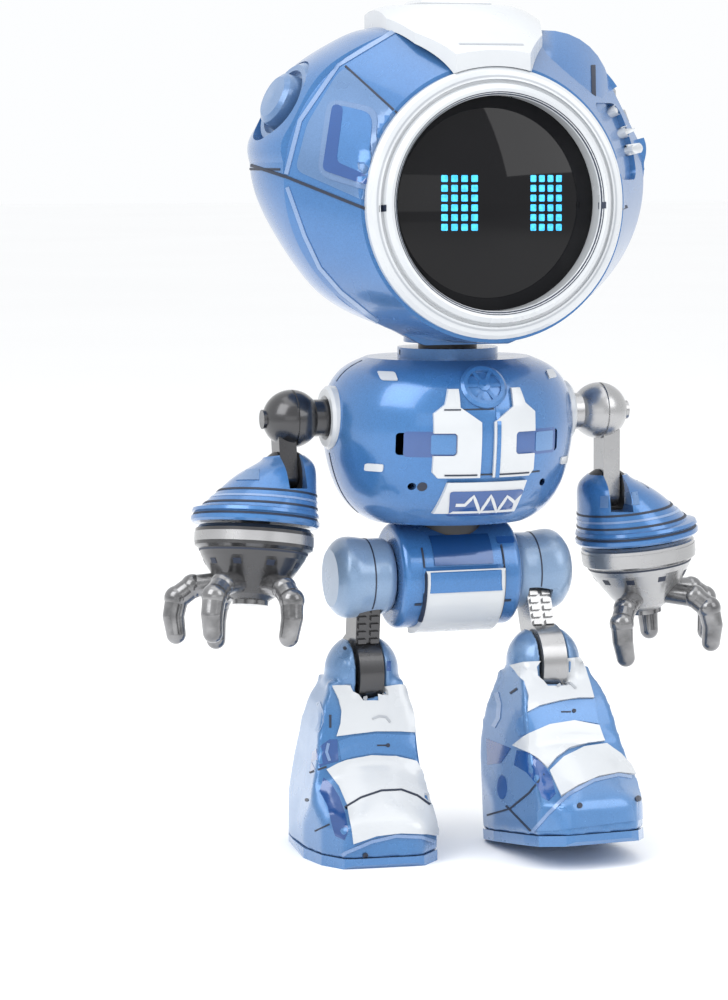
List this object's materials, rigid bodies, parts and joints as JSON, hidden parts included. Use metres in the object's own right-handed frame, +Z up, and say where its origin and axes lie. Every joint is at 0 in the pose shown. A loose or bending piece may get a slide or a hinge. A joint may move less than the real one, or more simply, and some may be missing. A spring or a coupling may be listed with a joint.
{
  "type": "walking humanoid robot toy",
  "caption": "Small posable robot toy with a large domed head and round visor, ball shoulders, bell forearms, clawed hands and boot feet, posed in mid stride.",
  "frame": {"origin": "on the floor under the middle of the outline, in the striding pose", "axes": "+Z up; the robot faces -Y and its left side is +X"},
  "size_m": [0.0813, 0.0491, 0.115],
  "materials": {
    "blue_shell": "pearl blue lacquer, satin to gloss",
    "dark_blue_gloss": "dark blue gloss",
    "white_trim": "white gloss",
    "black_visor": "high gloss",
    "cyan_led": "glowing dots",
    "circuit_board": "solder mask",
    "black_plastic": "satin",
    "gunmetal": "dark polished metal",
    "steel": "brushed"
  },
  "bodies": {
    "pelvis": {"pelvis_front_shell": "blue_shell", "pelvis_back_shell": "blue_shell", "pelvis_belly_panel": "white_trim", "pelvis_window": "dark_blue_gloss", "hip_axle": "steel", "waist_socket": "black_plastic"},
    "torso": {"torso_front_shell": "blue_shell", "torso_back_shell": "blue_shell", "torso_screws": "steel", "chest_plates": "white_trim", "chest_disc": "blue_shell", "belly_plate": "white_trim", "neck_post": "black_plastic", "waist_post": "black_plastic", "shoulder_bushings": "white_trim"},
    "head": {"head_upper_shell": "blue_shell", "head_lower_shell": "blue_shell", "face_ring": "white_trim", "visor_lens": "black_visor", "led_board": "circuit_board", "led_matrix": "cyan_led", "inner_frame": "black_plastic", "main_board": "circuit_board", "speaker": "black_plastic", "battery_cells": "steel", "battery_tray": "black_plastic", "battery_door": "blue_shell", "head_screws": "steel", "ear_knob_right": "blue_shell", "ear_fan_left": "blue_shell", "crest_panel": "white_trim", "tact_switch": "black_plastic"},
    "crest_key": {"crest_key": "white_trim"},
    "power_switch": {"power_switch": "black_plastic"},
    "shoulder_right": {"shoulder_ball_right": "gunmetal"},
    "forearm_right": {"elbow_dome_right": "black_plastic", "elbow_pin_right": "steel", "forearm_bell_right": "blue_shell"},
    "hand_right": {"hand_cup_right": "gunmetal", "hand_claws_right": "gunmetal"},
    "leg_right": {"hip_pod_inner_right": "blue_shell", "hip_pod_outer_right": "blue_shell", "leg_link_right": "gunmetal"},
    "foot_right": {"foot_shell_right": "blue_shell", "foot_panels_right": "white_trim", "sole_plate_right": "blue_shell", "ankle_pin_right": "steel"},
    "shoulder_left": {"shoulder_ball_left": "gunmetal"},
    "forearm_left": {"elbow_dome_left": "black_plastic", "elbow_pin_left": "steel", "forearm_bell_left": "blue_shell"},
    "hand_left": {"hand_cup_left": "gunmetal", "hand_claws_left": "gunmetal"},
    "leg_left": {"hip_pod_inner_left": "blue_shell", "hip_pod_outer_left": "blue_shell", "leg_link_left": "gunmetal"},
    "foot_left": {"foot_shell_left": "blue_shell", "foot_panels_left": "white_trim", "sole_plate_left": "blue_shell", "ankle_pin_left": "steel"}
  },
  "joints": [
    {"name": "waist_turn", "type": "hinge", "parent": "pelvis", "child": "torso", "pos_m": [0, 0, 0.0446], "axis": [0, 0, 1], "range_deg": [-30, 30]},
    {"name": "neck_turn", "type": "hinge", "parent": "torso", "child": "head", "pos_m": [0, 0, 0.0685], "axis": [0, 0, 1], "range_deg": [-75, 75]},
    {"name": "crest_press", "type": "slide", "parent": "head", "child": "crest_key", "axis": [0, 0, -1], "range_m": [0, 0.0006], "stiffness_N_per_m": 400, "springref_m": -0.0004},
    {"name": "switch_slide", "type": "slide", "parent": "head", "child": "power_switch", "axis": [1, 0, 0], "range_m": [-0.0015, 0.0015]},
    {"name": "shoulder_right_swing", "type": "hinge", "parent": "torso", "child": "shoulder_right", "pos_m": [-0.02, 0, 0.059], "axis": [1, 0, 0], "range_deg": [-60, 60]},
    {"name": "elbow_right_bend", "type": "hinge", "parent": "shoulder_right", "child": "forearm_right", "pos_m": [-0.0234, -0.00134, 0.05142], "axis": [1, 0, 0], "range_deg": [-35, 35]},
    {"name": "wrist_right_twist", "type": "hinge", "parent": "forearm_right", "child": "hand_right", "pos_m": [-0.028, -0.00247, 0.04502], "axis": [0.1132, 0.1725, 0.9785], "continuous": true},
    {"name": "hip_right_swing", "type": "hinge", "parent": "pelvis", "child": "leg_right", "pos_m": [-0.0135, 0, 0.0372], "axis": [1, 0, 0], "range_deg": [-42.2, 22.8]},
    {"name": "ankle_right_pitch", "type": "hinge", "parent": "leg_right", "child": "foot_right", "pos_m": [-0.0119, 0.00165, 0.0241], "axis": [1, 0, 0], "range_deg": [-20, 20]},
    {"name": "shoulder_left_swing", "type": "hinge", "parent": "torso", "child": "shoulder_left", "pos_m": [0.02, 0, 0.059], "axis": [1, 0, 0], "range_deg": [-70, 50]},
    {"name": "elbow_left_bend", "type": "hinge", "parent": "shoulder_left", "child": "forearm_left", "pos_m": [0.0234, 0, 0.0475], "axis": [1, 0, 0], "range_deg": [-35, 35]},
    {"name": "wrist_left_twist", "type": "hinge", "parent": "forearm_left", "child": "hand_left", "pos_m": [0.028, 0, 0.041], "axis": [-0.1132, 0, 0.9936], "continuous": true},
    {"name": "hip_left_swing", "type": "hinge", "parent": "pelvis", "child": "leg_left", "pos_m": [0.0135, 0, 0.0372], "axis": [1, 0, 0], "range_deg": [-10.2, 54.8]},
    {"name": "ankle_left_pitch", "type": "hinge", "parent": "leg_left", "child": "foot_left", "pos_m": [0.0119, -0.00554, 0.02521], "axis": [1, 0, 0], "range_deg": [-20, 20]}
  ]
}
